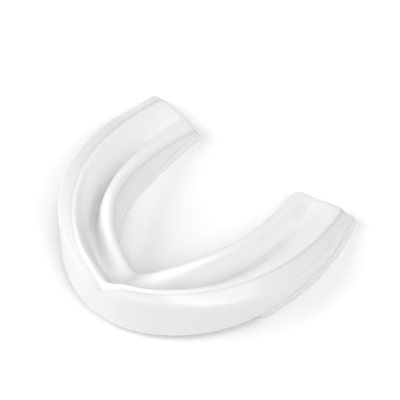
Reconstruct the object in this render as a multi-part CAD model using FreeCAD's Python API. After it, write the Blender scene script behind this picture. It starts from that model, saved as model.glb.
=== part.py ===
"""A boil-and-bite mouthguard: a soft horseshoe tray that fits over the upper teeth.

Millimetres, +Z up. The notch for the lip's frenum is at -Y and the two arms run back towards +Y.
The guard rests on its two bite pads at Z = 0, and the origin is under the middle of its outline.
The left half mirrors the right, so every table below describes the right half alone.
"""
import FreeCAD
import Part
import math
import os

# Middle of the tooth channel seen from above, as the poles of a Bezier curve.
CENTRE_LINE = ((0.0, -21.5), (6.5, -21.5), (20.5, -15.5), (24.9, 5.0), (20.5, 26.2))

# Cross-section at seven stations: middle, incisors, canine, premolars, first and second molar,
# arm end. Widths are measured from the centre line, heights from the table.
OUTER_FOOT = (6.4, 6.7, 7.1, 8.0, 8.8, 9.3, 8.8)
SHOULDER_INSET = (0.7, 1.0, 0.9, 0.1, -0.1, 0.0, 1.3)
SHOULDER_DROP = (2.0, 2.0, 1.9, 1.8, 1.7, 1.7, 1.2)
RIM_EDGE = (4.0, 3.9, 3.5, 3.9, 4.5, 5.0, 5.3)
RIM_HEIGHT = (15.7, 15.6, 14.9, 13.5, 11.3, 7.7, 3.9)
FLOOR_MIDDLE = (0.6, 0.5, 0.5, 0.6, 0.9, 1.1, 1.0)
FLOOR_HEIGHT = (5.2, 5.8, 6.6, 6.8, 6.0, 4.6, 3.5)
INNER_EDGE = (4.6, 3.9, 3.2, 3.4, 4.0, 4.5, 4.9)
INNER_HEIGHT = (5.3, 7.8, 11.9, 13.5, 11.5, 8.0, 3.9)
INNER_LIP = (1.9, 1.9, 2.0, 2.0, 2.1, 2.1, 1.5)
INNER_CREASE = (2.7, 3.2, 4.1, 4.9, 4.6, 3.4, 2.5)
INNER_FOOT = (7.0, 6.6, 6.1, 5.9, 6.6, 7.4, 6.6)

# Bite pads. Start and rear reach are shares of the centre line; the reach is past the arm's end,
# at the foot. The flare, at the same stations as above, widens the foot of the pad.
PAD_HEIGHT = 2.1
PAD_START = 0.605
PAD_REAR_REACH = 0.015
PAD_FRONT_CORNER = 1.6
PAD_END_CORNER = 2.2
PAD_EDGE_ROUND = 0.5
PAD_INSET = 0.02
PAD_OUTER_FLARE = (0.0, 0.0, 0.0, 0.0, 0.1, 0.5, 0.9)
PAD_INNER_FLARE = (0.0, 0.0, 0.0, 0.0, 0.1, 0.4, 0.9)

# Notch in the front rim for the frenum of the lip.
NOTCH_DEPTH = 2.6
NOTCH_HALF_WIDTH = 3.4
NOTCH_SETBACK = 0.6

# The liner's thickness at the rim, and its share of the floor's thickness.
LINER_EDGE = 0.7
LINER_SHARE = 0.42

FOOT_ROUND = 0.2
SHOULDER_ROUND = 1.1
END_ROUND = 1.8
END_TOP_ROUND = 0.4

# Outline of the tooth channel's two walls: share of the way across, share of the wall's height.
OUTER_WALL = ((0.17, 0.95), (0.36, 0.80), (0.54, 0.54), (0.70, 0.27), (0.85, 0.06))
INNER_WALL = ((0.14, 0.06), (0.28, 0.26), (0.44, 0.52), (0.61, 0.77), (0.80, 0.94))


def between(a, b, share):
    """Point or number the given share of the way from a to b."""
    if isinstance(a, tuple):
        return tuple(p + (q - p) * share for p, q in zip(a, b))
    return a + (b - a) * share


def bezier(poles, t):
    """Point at t on the Bezier curve with these poles."""
    while len(poles) > 1:
        poles = [between(p, q, t) for p, q in zip(poles, poles[1:])]
    return poles[0]


def reading(table, t):
    """Value at t of a smooth curve through a table's evenly spaced values."""
    spans = len(table) - 1
    k = min(int(t * spans), spans - 1)
    s = t * spans - k
    before = table[k - 1] if k > 0 else table[1]
    after = table[k + 2] if k + 2 <= spans else 2 * table[spans] - table[spans - 1]
    rise_in = (table[k + 1] - before) / 2
    rise_out = (after - table[k]) / 2
    step = table[k + 1] - table[k]
    return table[k] + s * (rise_in + s * (3 * step - 2 * rise_in - rise_out
                                          + s * (rise_in + rise_out - 2 * step)))


def place(t, across, height):
    """Point in space: across is measured from the centre line towards the tongue."""
    x, y = bezier(CENTRE_LINE, t)
    x1, y1 = bezier(CENTRE_LINE, t - 0.001)
    run = math.hypot(x - x1, y - y1)
    return FreeCAD.Vector(x - across * (y - y1) / run, y + across * (x - x1) / run, height)


def notch_share(t):
    """1 at the bottom of the front notch, falling to 0 at its sides."""
    away = bezier(CENTRE_LINE, t)[0] / NOTCH_HALF_WIDTH
    return max(0.0, 1.0 - away)


def section(t):
    """The cross-section's strips at t, each a list of (across, height) from outside to inside."""
    notch = notch_share(t)
    foot = -reading(OUTER_FOOT, t)
    rim = -reading(RIM_EDGE, t) - NOTCH_SETBACK * notch
    rim_height = reading(RIM_HEIGHT, t) - NOTCH_DEPTH * notch
    shoulder = foot + reading(SHOULDER_INSET, t) + NOTCH_SETBACK * notch
    shoulder_height = rim_height - reading(SHOULDER_DROP, t)
    floor = reading(FLOOR_MIDDLE, t)
    floor_height = reading(FLOOR_HEIGHT, t)
    inner = reading(INNER_EDGE, t)
    inner_height = reading(INNER_HEIGHT, t)
    inner_foot = reading(INNER_FOOT, t)
    liner = LINER_SHARE * (floor_height - PAD_HEIGHT)

    rim_seam = between((rim, rim_height), (shoulder, shoulder_height), LINER_EDGE / (rim - shoulder))
    bend = min(SHOULDER_ROUND, 0.45 * (shoulder_height - PAD_HEIGHT))
    corner = (shoulder, shoulder_height)
    outside = [
        (foot + FOOT_ROUND, PAD_HEIGHT),
        (foot, PAD_HEIGHT),
        (foot, PAD_HEIGHT + min(FOOT_ROUND, 0.5 * bend)),
        between((foot, PAD_HEIGHT), corner, 0.4),
        (between(foot, shoulder, 0.8), shoulder_height - bend),
        corner,
        between(corner, rim_seam, 0.45),
        rim_seam,
    ]
    outer_wall = [
        (between(rim, floor, across), between(floor_height, rim_height, up)) for across, up in OUTER_WALL
    ]
    inner_wall = [
        (between(floor, inner, across), between(floor_height, inner_height, up))
        for across, up in INNER_WALL
    ]
    lip = reading(INNER_LIP, t)
    inner_seam = (inner + lip, inner_height - 0.6 * lip)
    channel = [rim_seam, (rim, rim_height), *outer_wall, (floor, floor_height), *inner_wall,
               (inner, inner_height), (inner + 0.5 * lip, inner_height), inner_seam]

    def behind(share_up, point, seam, side):
        """The liner's back face: under the floor it is set down, beside a wall it is set sideways."""
        return (point[0] + side * LINER_EDGE * share_up,
                between(floor_height - liner, seam[1] - 0.3, share_up))

    outer_back = [behind(up, p, rim_seam, -1) for p, (_, up) in zip(outer_wall, OUTER_WALL)]
    inner_back = [behind(up, p, inner_seam, 1) for p, (_, up) in zip(inner_wall, INNER_WALL)]
    back = [rim_seam, *outer_back, (floor, floor_height - liner), *inner_back, inner_seam]
    crease = reading(INNER_CREASE, t)
    inside = [
        inner_seam,
        (inner + 1.15 * lip, inner_height - 0.95 * lip),
        between(inner_seam, (inner_foot, crease), 0.35),
        between(inner_seam, (inner_foot, crease), 0.75),
        (inner_foot, crease),
        (inner_foot, between(PAD_HEIGHT, crease, 0.45)),
        (inner_foot, PAD_HEIGHT),
        (inner_foot - FOOT_ROUND, PAD_HEIGHT),
    ]
    base = [inside[-1], outside[0]]
    return {"outside": outside, "channel": channel, "back": back, "inside": inside, "base": base}


def drawn_in(point, half_width, height):
    """The arm's end face: the section shrunk by the rounding of its edges."""
    across, up = point
    return (across * (1 - END_ROUND / half_width),
            PAD_HEIGHT + (up - PAD_HEIGHT) * (1 - END_TOP_ROUND / height))


def right_rows(strip):
    """Rows of poles of one strip, from the middle of the front to the end of the right arm."""
    notch_steps = [0.033 * k for k in range(5)]
    arch_steps = [between(0.132, 1.0, k / 14) for k in range(1, 14)]
    rows = [[place(t, *point) for point in section(t)[strip]] for t in notch_steps + arch_steps]
    for t in (0.975, 1.0):
        rows.append([place(t, *point) for point in section(t)[strip]])
    half_width = reading(OUTER_FOOT, 1.0)
    height = reading(RIM_HEIGHT, 1.0) - PAD_HEIGHT
    rows.append([place(1.0, *drawn_in(point, half_width, height)) for point in section(1.0)[strip]])
    return rows


def mirrored(row):
    return [FreeCAD.Vector(-point.x, point.y, point.z) for point in row]


def whole_rows(strip):
    """Rows of poles of one strip, from the end of the left arm to the end of the right arm."""
    right = right_rows(strip)
    return [mirrored(row) for row in reversed(right[1:])] + right


def knots(count, degree):
    """Evenly spaced knots of a clamped spline with this many poles, and how often each repeats."""
    inner = count - degree - 1
    values = [float(k) for k in range(inner + 2)]
    return values, [degree + 1] + [1] * inner + [degree + 1]


def strip_face(strip):
    """One strip of the tray's skin, running round the whole arch."""
    rows = whole_rows(strip)
    degree = min(3, len(rows[0]) - 1)
    u_knots, u_repeats = knots(len(rows), 3)
    v_knots, v_repeats = knots(len(rows[0]), degree)
    surface = Part.BSplineSurface()
    surface.buildFromPolesMultsKnots(rows, u_repeats, v_repeats, u_knots, v_knots, False, False, 3, degree)
    return surface.toShape()


def end_face(strips, side):
    """The flat end of an arm, bounded by the ends of the strips; side is -1 left, 1 right."""
    edges = []
    for strip in strips:
        row = right_rows(strip)[-1]
        if side < 0:
            row = mirrored(row)
        degree = min(3, len(row) - 1)
        values, repeats = knots(len(row), degree)
        curve = Part.BSplineCurve()
        curve.buildFromPolesMultsKnots(row, repeats, values, False, degree)
        edges.append(curve.toShape())
    return Part.Face(Part.Wire(Part.__sortEdges__(edges)))


def closed_solid(strips):
    """A solid wrapped in these strips and closed by flat faces at both arm ends."""
    faces = [strip_face(strip) for strip in strips] + [end_face(strips, side) for side in (-1, 1)]
    shell = Part.Shell(faces)
    shell.sewShape()
    solid = Part.Solid(shell)
    if solid.Volume < 0:
        solid.reverse()
    return solid


def outer_shell():
    """Firm outer tray: outer wall, rim, floor and tongue-side wall, without the liner."""
    return closed_solid(("outside", "back", "inside", "base"))


def fit_liner():
    """Soft lining of the tooth channel, moulded to the teeth after boiling."""
    return closed_solid(("channel", "back"))


def pad_outline(height, flare):
    """Outline of the right pad at one height; flare is the share of the flare reached there."""
    steps = [between(PAD_START, 1.0 + flare * PAD_REAR_REACH, k / 6) for k in range(7)]
    outer = [PAD_INSET - reading(OUTER_FOOT, t) - flare * reading(PAD_OUTER_FLARE, t) for t in steps]
    inner = [reading(INNER_FOOT, t) - PAD_INSET + flare * reading(PAD_INNER_FLARE, t) for t in steps]
    outer_points = [place(t, across, height) for t, across in zip(steps, outer)]
    inner_points = [place(t, across, height) for t, across in zip(steps, inner)]
    outer_curve = Part.BSplineCurve()
    outer_curve.interpolate(outer_points)
    inner_curve = Part.BSplineCurve()
    inner_curve.interpolate(inner_points[::-1])
    rear = Part.makeLine(outer_points[-1], inner_points[-1])
    front = Part.makeLine(inner_points[0], outer_points[0])
    return Part.Wire([outer_curve.toShape(), rear, inner_curve.toShape(), front])


def bite_pad(side):
    """Pad under one arm's molars, flared towards the bite; side is -1 left, 1 right."""
    pad = Part.makeLoft([pad_outline(0, 1), pad_outline(PAD_HEIGHT, 0)], True, True)
    uprights = [edge for edge in pad.Edges if edge.BoundBox.ZLength > 0.5 * PAD_HEIGHT]
    rear = [edge for edge in uprights if edge.BoundBox.YMax > 0]
    front = [edge for edge in uprights if edge.BoundBox.YMax <= 0]
    pad = pad.makeFillet(PAD_END_CORNER, rear).makeFillet(PAD_FRONT_CORNER, front)
    bottom = [edge for edge in pad.Edges if edge.BoundBox.ZMax < 0.01]
    pad = pad.makeFillet(PAD_EDGE_ROUND, bottom)
    if side < 0:
        pad = pad.mirror(FreeCAD.Vector(0, 0, 0), FreeCAD.Vector(1, 0, 0))
    return pad


def main():
    pieces = {
        "outer_shell": outer_shell(),
        "fit_liner": fit_liner(),
        "left_bite_pad": bite_pad(-1),
        "right_bite_pad": bite_pad(1),
    }
    box = Part.makeCompound(list(pieces.values())).optimalBoundingBox(False)
    to_origin = FreeCAD.Vector(0, -box.Center.y, 0)
    os.makedirs("parts", exist_ok=True)
    for name, shape in pieces.items():
        shape.translate(to_origin)
        print(name, "valid", shape.isValid(), "volume", round(shape.Volume), shape.BoundBox)
        shape.exportStep(os.path.join("parts", name + ".step"))


main()
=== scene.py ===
import math

import bpy
import numpy as np
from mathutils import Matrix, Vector, noise


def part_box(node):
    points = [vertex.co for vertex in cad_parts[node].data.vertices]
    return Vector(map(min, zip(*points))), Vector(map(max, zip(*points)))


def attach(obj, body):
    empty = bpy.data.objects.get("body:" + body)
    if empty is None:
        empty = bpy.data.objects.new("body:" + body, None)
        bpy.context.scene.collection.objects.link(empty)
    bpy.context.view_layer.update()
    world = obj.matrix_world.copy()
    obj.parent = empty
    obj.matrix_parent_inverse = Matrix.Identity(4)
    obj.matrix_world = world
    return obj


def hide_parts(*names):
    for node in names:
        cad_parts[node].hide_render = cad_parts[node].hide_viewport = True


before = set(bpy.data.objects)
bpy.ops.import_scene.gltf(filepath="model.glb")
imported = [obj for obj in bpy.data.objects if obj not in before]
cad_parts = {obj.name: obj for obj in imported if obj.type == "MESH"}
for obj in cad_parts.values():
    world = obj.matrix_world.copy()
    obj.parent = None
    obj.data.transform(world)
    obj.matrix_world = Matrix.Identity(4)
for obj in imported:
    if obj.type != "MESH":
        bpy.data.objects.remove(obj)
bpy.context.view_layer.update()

MM = 0.001

# ---------------------------------------------------------------- shape, as in the CAD source

# Middle of the tooth channel seen from above, as the poles of a Bezier curve. Along it t runs from 0,
# the middle of the front, to 1, the end of the right arm. The left half mirrors the right.
CENTRE_LINE = ((0.0, -21.5), (6.5, -21.5), (20.5, -15.5), (24.9, 5.0), (20.5, 26.2))

# Cross-section at seven evenly spaced values of t. Widths are measured from the centre line, heights
# from the table.
OUTER_FOOT = (6.4, 6.7, 7.1, 8.0, 8.8, 9.3, 8.8)
SHOULDER_INSET = (0.7, 1.0, 0.9, 0.1, -0.1, 0.0, 1.3)
SHOULDER_DROP = (2.0, 2.0, 1.9, 1.8, 1.7, 1.7, 1.2)
RIM_EDGE = (4.0, 3.9, 3.5, 3.9, 4.5, 5.0, 5.3)
RIM_HEIGHT = (15.7, 15.6, 14.9, 13.5, 11.3, 7.7, 3.9)
FLOOR_MIDDLE = (0.6, 0.5, 0.5, 0.6, 0.9, 1.1, 1.0)
FLOOR_HEIGHT = (5.2, 5.8, 6.6, 6.8, 6.0, 4.6, 3.5)
INNER_EDGE = (4.6, 3.9, 3.2, 3.4, 4.0, 4.5, 4.9)
INNER_HEIGHT = (5.3, 7.8, 11.9, 13.5, 11.5, 8.0, 3.9)
INNER_LIP = (1.9, 1.9, 2.0, 2.0, 2.1, 2.1, 1.5)
INNER_CREASE = (2.7, 3.2, 4.1, 4.9, 4.6, 3.4, 2.5)
INNER_FOOT = (7.0, 6.6, 6.1, 5.9, 6.6, 7.4, 6.6)

# Bite pads. Start and rear reach are shares of the centre line; the reach is past the arm's end, at
# the foot. The flare widens the foot of the pad.
PAD_HEIGHT = 2.1
PAD_START = 0.605
PAD_REAR_REACH = 0.015
PAD_FRONT_CORNER = 1.6
PAD_END_CORNER = 2.2
PAD_EDGE_ROUND = 0.5
PAD_INSET = 0.02
PAD_OUTER_FLARE = (0.0, 0.0, 0.0, 0.0, 0.1, 0.5, 0.9)
PAD_INNER_FLARE = (0.0, 0.0, 0.0, 0.0, 0.1, 0.4, 0.9)

# Notch in the front rim for the frenum of the lip.
NOTCH_DEPTH = 2.6
NOTCH_HALF_WIDTH = 3.4
NOTCH_SETBACK = 0.6

# The liner's thickness at the rim, its share of the floor's thickness, and how far below its seams
# its back face ends.
LINER_EDGE = 0.7
LINER_SHARE = 0.42
LINER_DROP = 0.3

FOOT_ROUND = 0.2
SHOULDER_ROUND = 1.1
END_ROUND = 1.8
END_TOP_ROUND = 0.4

# Outline of the tooth channel's two walls: share of the way across, share of the wall's height.
OUTER_WALL = ((0.17, 0.95), (0.36, 0.80), (0.54, 0.54), (0.70, 0.27), (0.85, 0.06))
INNER_WALL = ((0.14, 0.06), (0.28, 0.26), (0.44, 0.52), (0.61, 0.77), (0.80, 0.94))

# Where the other spline poles lie, as shares of the way from one corner of the section to the next.
WALL_POLE = 0.4
BEND_POLE = 0.8
SHOULDER_POLE = 0.45
INSIDE_POLES = (0.35, 0.75)
FOOT_POLE = 0.45
LARGEST_BEND = 0.45

# Poles of the inner lip, in widths of the lip: across from its edge, and down from its top.
LIP_CROWN = 0.5
LIP_SEAM_DROP = 0.6
LIP_TURN = (1.15, 0.95)

# Rows of poles: closely spaced across the notch, evenly along the arch, and one near the arm's end.
NOTCH_STEP = 0.033
NOTCH_ROWS = 5
ARCH_SPANS = 14
LAST_ROW = 0.975

TANGENT_STEP = 0.001


def between(a, b, share):
    """Point or number the given share of the way from a to b."""
    if isinstance(a, tuple):
        return tuple(p + (q - p) * share for p, q in zip(a, b))
    return a + (b - a) * share


def bezier(poles, t):
    """Point at t on the Bezier curve with these poles."""
    while len(poles) > 1:
        poles = [between(p, q, t) for p, q in zip(poles, poles[1:])]
    return poles[0]


def reading(table, t):
    """Value at t of a smooth curve through a table's evenly spaced values."""
    spans = len(table) - 1
    k = min(int(t * spans), spans - 1)
    s = t * spans - k
    before = table[k - 1] if k > 0 else table[1]
    after = table[k + 2] if k + 2 <= spans else 2 * table[spans] - table[spans - 1]
    rise_in = (table[k + 1] - before) / 2
    rise_out = (after - table[k]) / 2
    step = table[k + 1] - table[k]
    return table[k] + s * (rise_in + s * (3 * step - 2 * rise_in - rise_out
                                          + s * (rise_in + rise_out - 2 * step)))


def place(t, across, height):
    """Point in space: across is measured from the centre line towards the tongue."""
    x, y = bezier(CENTRE_LINE, t)
    x1, y1 = bezier(CENTRE_LINE, t - TANGENT_STEP)
    run = math.hypot(x - x1, y - y1)
    return (x - across * (y - y1) / run, y + across * (x - x1) / run, height)


def notch_share(t):
    """1 at the bottom of the front notch, falling to 0 at its sides."""
    return max(0.0, 1.0 - bezier(CENTRE_LINE, t)[0] / NOTCH_HALF_WIDTH)


def section(t):
    """The cross-section's strips at t, each a list of (across, height) poles from outside to inside."""
    notch = notch_share(t)
    foot = -reading(OUTER_FOOT, t)
    rim = -reading(RIM_EDGE, t) - NOTCH_SETBACK * notch
    rim_height = reading(RIM_HEIGHT, t) - NOTCH_DEPTH * notch
    shoulder = foot + reading(SHOULDER_INSET, t) + NOTCH_SETBACK * notch
    shoulder_height = rim_height - reading(SHOULDER_DROP, t)
    floor = reading(FLOOR_MIDDLE, t)
    floor_height = reading(FLOOR_HEIGHT, t)
    inner = reading(INNER_EDGE, t)
    inner_height = reading(INNER_HEIGHT, t)
    inner_foot = reading(INNER_FOOT, t)
    liner = LINER_SHARE * (floor_height - PAD_HEIGHT)

    rim_seam = between((rim, rim_height), (shoulder, shoulder_height), LINER_EDGE / (rim - shoulder))
    bend = min(SHOULDER_ROUND, LARGEST_BEND * (shoulder_height - PAD_HEIGHT))
    corner = (shoulder, shoulder_height)
    outside = [
        (foot + FOOT_ROUND, PAD_HEIGHT),
        (foot, PAD_HEIGHT),
        (foot, PAD_HEIGHT + min(FOOT_ROUND, bend / 2)),
        between((foot, PAD_HEIGHT), corner, WALL_POLE),
        (between(foot, shoulder, BEND_POLE), shoulder_height - bend),
        corner,
        between(corner, rim_seam, SHOULDER_POLE),
        rim_seam,
    ]
    outer_wall = [
        (between(rim, floor, across), between(floor_height, rim_height, up)) for across, up in OUTER_WALL
    ]
    inner_wall = [
        (between(floor, inner, across), between(floor_height, inner_height, up))
        for across, up in INNER_WALL
    ]
    lip = reading(INNER_LIP, t)
    inner_seam = (inner + lip, inner_height - LIP_SEAM_DROP * lip)
    channel = [rim_seam, (rim, rim_height), *outer_wall, (floor, floor_height), *inner_wall,
               (inner, inner_height), (inner + LIP_CROWN * lip, inner_height), inner_seam]

    def behind(share_up, point, seam, side):
        """The liner's back face: under the floor it is set down, beside a wall it is set sideways."""
        return (point[0] + side * LINER_EDGE * share_up,
                between(floor_height - liner, seam[1] - LINER_DROP, share_up))

    outer_back = [behind(up, p, rim_seam, -1) for p, (_, up) in zip(outer_wall, OUTER_WALL)]
    inner_back = [behind(up, p, inner_seam, 1) for p, (_, up) in zip(inner_wall, INNER_WALL)]
    back = [rim_seam, *outer_back, (floor, floor_height - liner), *inner_back, inner_seam]
    crease = (inner_foot, reading(INNER_CREASE, t))
    inside = [
        inner_seam,
        (inner + LIP_TURN[0] * lip, inner_height - LIP_TURN[1] * lip),
        *[between(inner_seam, crease, share) for share in INSIDE_POLES],
        crease,
        (inner_foot, between(PAD_HEIGHT, crease[1], FOOT_POLE)),
        (inner_foot, PAD_HEIGHT),
        (inner_foot - FOOT_ROUND, PAD_HEIGHT),
    ]
    base = [inside[-1], outside[0]]
    return {"outside": outside, "channel": channel, "back": back, "inside": inside, "base": base}


def drawn_in(point, half_width, height):
    """The arm's end face: the section shrunk by the rounding of its edges."""
    across, up = point
    return (across * (1 - END_ROUND / half_width),
            PAD_HEIGHT + (up - PAD_HEIGHT) * (1 - END_TOP_ROUND / height))


def pole_rows(strip):
    """Rows of poles of one strip, from the end of the left arm to the end of the right arm."""
    notch_steps = [NOTCH_STEP * k for k in range(NOTCH_ROWS)]
    arch_steps = [between(notch_steps[-1], 1.0, k / ARCH_SPANS) for k in range(1, ARCH_SPANS)]
    steps = [*notch_steps, *arch_steps, LAST_ROW, 1.0]
    right = [[place(t, *point) for point in section(t)[strip]] for t in steps]
    half_width = reading(OUTER_FOOT, 1.0)
    height = reading(RIM_HEIGHT, 1.0) - PAD_HEIGHT
    right.append([place(1.0, *drawn_in(point, half_width, height)) for point in section(1.0)[strip]])
    right = np.array(right)
    left = right[:0:-1] * (-1, 1, 1)
    return np.concatenate([left, right])


# ---------------------------------------------------------------- grids from the spline poles

# Samples in each span of the splines, along the arch and across each strip of the section.
SAMPLES_ALONG = 8
SAMPLES_ACROSS = {"outside": 7, "channel": 6, "back": 3, "inside": 6, "base": 2}

# The last sample is kept this far inside the last span, because each span leaves out its own end.
INSIDE_LAST_SPAN = 1e-9


def basis(count, per_span):
    """Blending weights of a clamped cubic spline (straight for two poles), one row per sample."""
    degree = min(3, count - 1)
    inner = np.arange(count - degree + 1, dtype=float)
    knots = np.concatenate([[inner[0]] * degree, inner, [inner[-1]] * degree])
    rows = []
    for x in np.linspace(0, inner[-1], int(inner[-1]) * per_span + 1):
        x = min(x, inner[-1] - INSIDE_LAST_SPAN)
        weights = [1.0 if knots[i] <= x < knots[i + 1] else 0.0 for i in range(len(knots) - 1)]
        for d in range(1, degree + 1):
            for i in range(len(knots) - 1 - d):
                a = knots[i + d] - knots[i]
                b = knots[i + d + 1] - knots[i + 1]
                rising = (x - knots[i]) / a * weights[i] if a > 0 else 0.0
                falling = (knots[i + d + 1] - x) / b * weights[i + 1] if b > 0 else 0.0
                weights[i] = rising + falling
        rows.append(weights[:count])
    return np.array(rows)


def grid(strip):
    """Points on one strip: first index along the arch, second across the section."""
    poles = pole_rows(strip)
    along = basis(poles.shape[0], SAMPLES_ALONG)
    across = basis(poles.shape[1], SAMPLES_ACROSS[strip])
    return np.einsum("ij,jkc,lk->ilc", along, poles, across)


def add_object(name, data):
    """A new object in the scene that shows the given mesh, lamp or camera."""
    obj = bpy.data.objects.new(name, data)
    bpy.context.scene.collection.objects.link(obj)
    return obj


def tube_faces(rings, around):
    """Quads between neighbouring rings of points, where the points are numbered ring after ring."""
    faces = []
    for i in range(rings - 1):
        for j in range(around):
            k = (j + 1) % around
            faces.append((i * around + j, i * around + k, (i + 1) * around + k, (i + 1) * around + j))
    return faces


def outward(mesh):
    """Turns the mesh's faces outward if its volume comes out negative."""
    co = np.array([v.co for v in mesh.vertices])
    volume = 0.0
    for poly in mesh.polygons:
        v = poly.vertices
        for i in range(1, len(v) - 1):
            volume += np.dot(co[v[0]], np.cross(co[v[i]], co[v[i + 1]]))
    if volume < 0:
        mesh.flip_normals()
    mesh.update()


def ring_mesh(name, strips):
    """Closed object from strips that follow each other round the section, each starting where the last ends.

    strips are (grid, sharp start) pairs. Also returns the strip that each point is on, by number, and
    its share of the way across that strip.
    """
    points = []
    sharp = []
    strip_of = []
    share_of = []
    for number, (strip_grid, start_sharp) in enumerate(strips):
        if start_sharp:
            sharp.append(len(strip_of))
        width = strip_grid.shape[1] - 1
        points.append(strip_grid[:, :-1])
        strip_of += [number] * width
        share_of += [k / width for k in range(width)]
    ring = np.concatenate(points, axis=1)
    n, m = ring.shape[:2]
    left_end = tuple(range(m))[::-1]
    right_end = tuple((n - 1) * m + j for j in range(m))
    mesh = bpy.data.meshes.new(name)
    mesh.from_pydata((ring.reshape(-1, 3) * MM).tolist(), [], [*tube_faces(n, m), left_end, right_end])
    mesh.validate()
    mesh.update()
    hard = set()
    for j in sharp:
        for i in range(n - 1):
            hard.add((i * m + j, (i + 1) * m + j))
    for i in (0, n - 1):
        for j in range(m):
            a, b = i * m + j, i * m + (j + 1) % m
            hard.add((min(a, b), max(a, b)))
    mesh.shade_smooth()
    for edge in mesh.edges:
        edge.use_edge_sharp = (min(edge.vertices), max(edge.vertices)) in hard
    outward(mesh)
    return add_object(name, mesh), np.tile(strip_of, n), np.tile(share_of, n)


# ---------------------------------------------------------------- surface relief

# Slow swell and sink of moulded EVA, as (seed, size in mm, depth in mm) of each wave.
OUTER_WAVES = ((11.0, 6.5, 0.10), (3.0, 2.6, 0.035))
CHANNEL_WAVES = ((27.0, 5.0, 0.09), (5.0, 2.2, 0.03))

# Share of a strip's width over which the relief fades out at each of its seams.
SEAM_FADE = 0.12

# Short groove that runs down the front wall from the notch. It deepens between two heights, and is cut
# only where the y of the wall's normal is below FACING_FRONT.
GROOVE_HALF_WIDTH = 1.5
GROOVE_DEPTH = 0.38
GROOVE_BOTTOM = 9.6
GROOVE_FULL = 12.2
FACING_FRONT = -0.2


def smooth_share(x, a, b):
    """0 up to a, 1 from b on, and a smooth rise between them."""
    s = min(max((x - a) / (b - a), 0.0), 1.0)
    return s * s * (3 - 2 * s)


def waves(p, table):
    """Height of all the waves of a table at a point, in millimetres."""
    return sum(depth * noise.noise(Vector((p.x / size + seed, p.y / size, p.z / size)))
               for seed, size, depth in table)


def outer_relief(p, normal):
    groove = 0.0
    if normal.y < FACING_FRONT and abs(p.x) < GROOVE_HALF_WIDTH:
        across = 1 - (p.x / GROOVE_HALF_WIDTH) ** 2
        groove = GROOVE_DEPTH * across * across * smooth_share(p.z, GROOVE_BOTTOM, GROOVE_FULL)
    return waves(p, OUTER_WAVES) - groove


def channel_relief(p, _normal):
    return waves(p, CHANNEL_WAVES)


def soften(obj, strip_of, share_of, visible, relief):
    """Moves the points of the visible strips, given by number, along their normals.

    They move by relief(point, normal) millimetres, fading to nothing at the seams with other strips.
    """
    mesh = obj.data
    moves = []
    for v, strip, share in zip(mesh.vertices, strip_of, share_of):
        if strip in visible:
            fade = smooth_share(min(share, 1 - share), 0.0, SEAM_FADE)
            moves.append((v, v.normal * (relief(v.co / MM, v.normal) * fade * MM)))
    for v, move in moves:
        v.co += move
    mesh.update()


# ---------------------------------------------------------------- shell and liner

grids = {strip: grid(strip) for strip in SAMPLES_ACROSS}

# The CAD centres the part front to back; the front wall's lowest y says by how much.
to_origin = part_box("outer_shell")[0].y / MM - grids["outside"][:, :, 1].min()
for strip_grid in grids.values():
    strip_grid[:, :, 1] += to_origin


def make_shell():
    """Outer wall, the back face that the liner lies on, tongue-side wall and base."""
    shell, strip_of, share_of = ring_mesh("tray_shell", [
        (grids["outside"], False), (grids["back"], True), (grids["inside"], True), (grids["base"], False)])
    soften(shell, strip_of, share_of, (0, 2), outer_relief)
    return shell


def make_liner():
    """The tooth channel's lining, with the same back face run the other way."""
    liner, strip_of, share_of = ring_mesh("fit_lining", [
        (grids["channel"], True), (grids["back"][:, ::-1], True)])
    soften(liner, strip_of, share_of, (0,), channel_relief)
    return liner


# ---------------------------------------------------------------- bite pads

# Steps in each side of a pad's outline, in each rounded corner, up its rounded foot and up its wall,
# and along the centre line where its length is added up.
PAD_SIDE_STEPS = 30
PAD_CORNER_STEPS = 8
PAD_FOOT_STEPS = 6
PAD_WALL_STEPS = 5
LENGTH_STEPS = 40


def corner_pull(past, radius):
    """How far a rounded corner draws the outline in, at a distance past the start of its arc."""
    return radius - math.sqrt(max(radius ** 2 - past ** 2, 0.0))


def pad_loop(side, height, inset):
    """One closed outline of a pad as (outer points, inner points), at a height and inset, in millimetres."""
    flare = 1 - height / PAD_HEIGHT
    start = PAD_START
    end = 1.0 + flare * PAD_REAR_REACH
    length = sum(
        math.dist(bezier(CENTRE_LINE, between(start, end, k / LENGTH_STEPS)),
                  bezier(CENTRE_LINE, between(start, end, (k + 1) / LENGTH_STEPS)))
        for k in range(LENGTH_STEPS))
    front_r = PAD_FRONT_CORNER - inset
    end_r = PAD_END_CORNER - inset
    front_arc = inset + front_r
    end_arc = length - inset - end_r
    arc = [1 - math.cos(math.pi / 2 * k / PAD_CORNER_STEPS) for k in range(PAD_CORNER_STEPS + 1)]
    runs = [inset + front_r * a for a in arc]
    runs += [between(front_arc, end_arc, k / PAD_SIDE_STEPS) for k in range(1, PAD_SIDE_STEPS)]
    runs += [length - inset - end_r * a for a in reversed(arc)]
    outer, inner = [], []
    for run in runs:
        t = between(start, end, run / length)
        pull = 0.0
        if run < front_arc:
            pull = corner_pull(front_arc - run, front_r)
        if run > end_arc:
            pull = corner_pull(run - end_arc, end_r)
        s = min(t, 1.0)
        o = reading(OUTER_FOOT, s) - PAD_INSET + flare * reading(PAD_OUTER_FLARE, s) - inset - pull
        i = reading(INNER_FOOT, s) - PAD_INSET + flare * reading(PAD_INNER_FLARE, s) - inset - pull
        x, y, z = place(t, -o, height)
        outer.append((side * x, y + to_origin, z))
        x, y, z = place(t, i, height)
        inner.append((side * x, y + to_origin, z))
    return outer, inner


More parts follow.
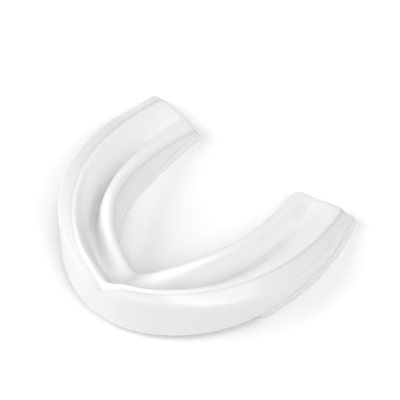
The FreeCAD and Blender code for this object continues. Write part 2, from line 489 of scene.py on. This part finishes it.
def make_pad(name, side):
    """Pad under one arm: outlines stacked up its rounded foot and wall; side is -1 left, 1 right."""
    loops = []
    for k in range(PAD_FOOT_STEPS + 1):
        angle = math.pi / 2 * k / PAD_FOOT_STEPS
        inset = PAD_EDGE_ROUND * (1 - math.sin(angle))
        loops.append(pad_loop(side, PAD_EDGE_ROUND * (1 - math.cos(angle)), inset))
    for k in range(1, PAD_WALL_STEPS + 1):
        loops.append(pad_loop(side, between(PAD_EDGE_ROUND, PAD_HEIGHT, k / PAD_WALL_STEPS), 0.0))
    verts = []
    for outer, inner in loops:
        verts += outer + inner[::-1]
    count = len(loops[0][0])
    around = 2 * count
    last = (len(loops) - 1) * around
    faces = tube_faces(len(loops), around)
    for j in range(count - 1):
        faces.append((j, around - 1 - j, around - 2 - j, j + 1))
        faces.append((last + j, last + j + 1, last + around - 2 - j, last + around - 1 - j))
    mesh = bpy.data.meshes.new(name)
    mesh.from_pydata([(x * MM, y * MM, z * MM) for x, y, z in verts], [], faces)
    mesh.validate()
    mesh.shade_smooth()
    for edge in mesh.edges:
        edge.use_edge_sharp = min(edge.vertices) >= last
    outward(mesh)
    return add_object(name, mesh)


# ---------------------------------------------------------------- materials

# Sockets of the mix node that hold colours; several sockets share each name.
MIX_FIRST = 6
MIX_SECOND = 7
MIX_RESULT = 2


def node(tree, kind, links=(), **values):
    """Adds a node, sets its properties and inputs, and links inputs given as (input, socket)."""
    made = tree.nodes.new(kind)
    for key, value in values.items():
        if key in made.inputs.keys():
            made.inputs[key].default_value = value
        else:
            setattr(made, key, value)
    for key, socket in links:
        tree.links.new(socket, made.inputs[key])
    return made


def new_material(name):
    """A material with no nodes yet, and its node tree."""
    mat = bpy.data.materials.new(name)
    mat.use_nodes = True
    mat.node_tree.nodes.clear()
    return mat, mat.node_tree


def colour_mix(tree, factor, first, second):
    """Socket with a colour that goes from the first to the second as the factor goes from 0 to 1."""
    mix = node(tree, "ShaderNodeMix", [("Factor", factor)], data_type="RGBA")
    mix.inputs[MIX_FIRST].default_value = (*first, 1.0)
    mix.inputs[MIX_SECOND].default_value = (*second, 1.0)
    return mix.outputs[MIX_RESULT]


def eva(name, tone, rough, seed, scatter, coat):
    """Moulded white EVA: faintly translucent under a thin gloss, with slow changes and a fine skin."""
    mat, tree = new_material(name)
    where = node(tree, "ShaderNodeTexCoord").outputs["Object"]
    shifted = node(tree, "ShaderNodeVectorMath", [(0, where)], operation="ADD")
    shifted.inputs[1].default_value = (seed, seed * 0.7, seed * 1.3)

    def cloud(scale, detail, roughness):
        made = node(tree, "ShaderNodeTexNoise", [("Vector", shifted.outputs[0])],
                    Scale=scale, Detail=detail, Roughness=roughness)
        return made.outputs["Fac"]

    colour = colour_mix(tree, cloud(140.0, 4.0, 0.55),
                        [c * 0.985 for c in tone], [min(c * 1.008, 1.0) for c in tone])
    gloss = node(tree, "ShaderNodeMapRange", [("Value", cloud(420.0, 3.0, 0.6))],
                 **{"From Min": 0.3, "From Max": 0.7, "To Min": rough - 0.03, "To Max": rough + 0.04})
    fine = node(tree, "ShaderNodeBump", [("Height", cloud(2600.0, 2.0, 0.5))],
                Strength=0.12, Distance=0.00002)
    bump = node(tree, "ShaderNodeBump",
                [("Height", cloud(700.0, 2.0, 0.5)), ("Normal", fine.outputs["Normal"])],
                Strength=0.15, Distance=0.00005)
    shader = node(tree, "ShaderNodeBsdfPrincipled",
                  [("Base Color", colour), ("Roughness", gloss.outputs["Result"]),
                   ("Normal", bump.outputs["Normal"])],
                  **{"IOR": 1.48, "Specular IOR Level": 0.25,
                     "Subsurface Weight": 0.35, "Subsurface Radius": (1.0, 0.9, 0.8),
                     "Subsurface Scale": scatter, "Coat Weight": coat, "Coat Roughness": 0.12})
    node(tree, "ShaderNodeOutputMaterial", [("Surface", shader.outputs["BSDF"])])
    return mat


def table_white():
    """Matt white table with a very faint grain, lifted a little by a glow of its own."""
    mat, tree = new_material("white_table")
    where = node(tree, "ShaderNodeTexCoord").outputs["Object"]
    grain = node(tree, "ShaderNodeTexNoise", [("Vector", where)], Scale=60.0, Detail=3.0)
    colour = colour_mix(tree, grain.outputs["Fac"], (0.90, 0.90, 0.90), (0.92, 0.92, 0.92))
    shader = node(tree, "ShaderNodeBsdfPrincipled", [("Base Color", colour)],
                  **{"Roughness": 0.9, "Specular IOR Level": 0.0,
                     "Emission Color": (1.0, 1.0, 1.0, 1.0), "Emission Strength": 0.02})
    node(tree, "ShaderNodeOutputMaterial", [("Surface", shader.outputs["BSDF"])])
    return mat


# ---------------------------------------------------------------- pieces

shell = make_shell()
liner = make_liner()
left_pad = make_pad("bite_pad_left", -1)
right_pad = make_pad("bite_pad_right", 1)

shell_mat = eva("shell_eva", (0.795, 0.796, 0.798), rough=0.40, seed=1.0, scatter=0.0011, coat=0.5)
# The liner's tone is lighter than the shell's and the pads': painted light that lifts the shade in the tooth
# channel.
liner_mat = eva("liner_eva", (0.85, 0.849, 0.839), rough=0.46, seed=2.0, scatter=0.0015, coat=0.22)
pad_mat = eva("pad_eva", (0.80, 0.801, 0.801), rough=0.42, seed=3.0, scatter=0.0008, coat=0.4)

for piece, replaced, slot, mat in (
        (shell, "outer_shell", "shell_eva", shell_mat),
        (liner, "fit_liner", "liner_eva", liner_mat),
        (left_pad, "left_bite_pad", "pad_eva", pad_mat),
        (right_pad, "right_bite_pad", "pad_eva", pad_mat)):
    piece.data.materials.append(mat)
    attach(piece, "root")
    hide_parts(replaced)

# ---------------------------------------------------------------- table, light and camera

TABLE_SIZE = 4.0

DOME_HORIZON = 0.05
DOME_TOP = 0.12

# Point that the lamps face: the middle of the part, half way up.
AIM = Vector((0.0, 0.0, 0.008))

# Name, azimuth and elevation in degrees, distance, width and height in metres, power in watts.
SOFT_BOXES = (
    ("key_left", -53, 37, 0.9, 0.65, 0.55, 5.5),
    ("side_right", 80, 38, 0.9, 0.70, 0.60, 3.4),
    ("top_right", 60, 70, 0.9, 0.85, 0.85, 3.5),
    ("rear_fill", -165, 40, 0.9, 0.70, 0.60, 1.4),
    ("front_lamp", -28, 18, 0.8, 0.03, 0.03, 0.45),
    ("rear_lamp", 128, 54, 0.9, 0.24, 0.20, 0.4),
)

CAMERA_AZIMUTH = 37.76
CAMERA_ELEVATION = 55.0
CAMERA_DISTANCE = 0.4
CAMERA_TARGET = Vector((-0.00058, 0.00805, 0.005))
CAMERA_LENS = 158.27
SENSOR_WIDTH = 36.0


def towards(azimuth, elevation):
    """Unit vector from the part: azimuth 0 points to -Y, 90 to +X and -90 to -X, in degrees."""
    a, e = math.radians(azimuth), math.radians(elevation)
    return Vector((math.sin(a) * math.cos(e), -math.cos(a) * math.cos(e), math.sin(e)))


def stand_facing(obj, target, away, distance):
    """Puts a lamp or camera at a distance from its target, looking back at it."""
    obj.location = target + away * distance
    obj.rotation_mode = "QUATERNION"
    obj.rotation_quaternion = away.to_track_quat("Z", "Y")


def make_table():
    half = TABLE_SIZE / 2
    corners = [(-half, -half, 0), (half, -half, 0), (half, half, 0), (-half, half, 0)]
    mesh = bpy.data.meshes.new("table_top")
    mesh.from_pydata(corners, [], [(0, 1, 2, 3)])
    mesh.materials.append(table_white())
    return add_object("table_top", mesh)


def make_dome():
    """A white dome of light, brighter overhead than at the horizon."""
    world = bpy.data.worlds.new("studio")
    bpy.context.scene.world = world
    world.use_nodes = True
    tree = world.node_tree
    direction = node(tree, "ShaderNodeTexCoord").outputs["Generated"]
    height = node(tree, "ShaderNodeSeparateXYZ", [("Vector", direction)]).outputs["Z"]
    glow = node(tree, "ShaderNodeMapRange", [("Value", height)],
                **{"From Min": 0.0, "From Max": 1.0, "To Min": DOME_HORIZON, "To Max": DOME_TOP})
    background = tree.nodes["Background"]
    background.inputs["Color"].default_value = (1.0, 1.0, 1.0, 1.0)
    tree.links.new(glow.outputs["Result"], background.inputs["Strength"])


def soft_box(name, azimuth, elevation, distance, width, height, power):
    """Area lamp aimed at the part."""
    lamp = bpy.data.lights.new(name, "AREA")
    lamp.shape = "RECTANGLE"
    lamp.size = width
    lamp.size_y = height
    lamp.energy = power
    stand_facing(add_object(name, lamp), AIM, towards(azimuth, elevation), distance)


def make_camera():
    lens = bpy.data.cameras.new("camera")
    lens.sensor_width = SENSOR_WIDTH
    lens.lens = CAMERA_LENS
    lens.clip_start = 0.01
    lens.clip_end = 10.0
    camera = add_object("camera", lens)
    stand_facing(camera, CAMERA_TARGET, towards(CAMERA_AZIMUTH, CAMERA_ELEVATION), CAMERA_DISTANCE)
    bpy.context.scene.camera = camera


floor = make_table()
make_dome()
for box in SOFT_BOXES:
    soft_box(*box)
make_camera()

view = bpy.context.scene.view_settings
view.view_transform = "Standard"
view.look = "None"
view.exposure = 0.0
view.gamma = 1.0

bpy.context.view_layer.update()
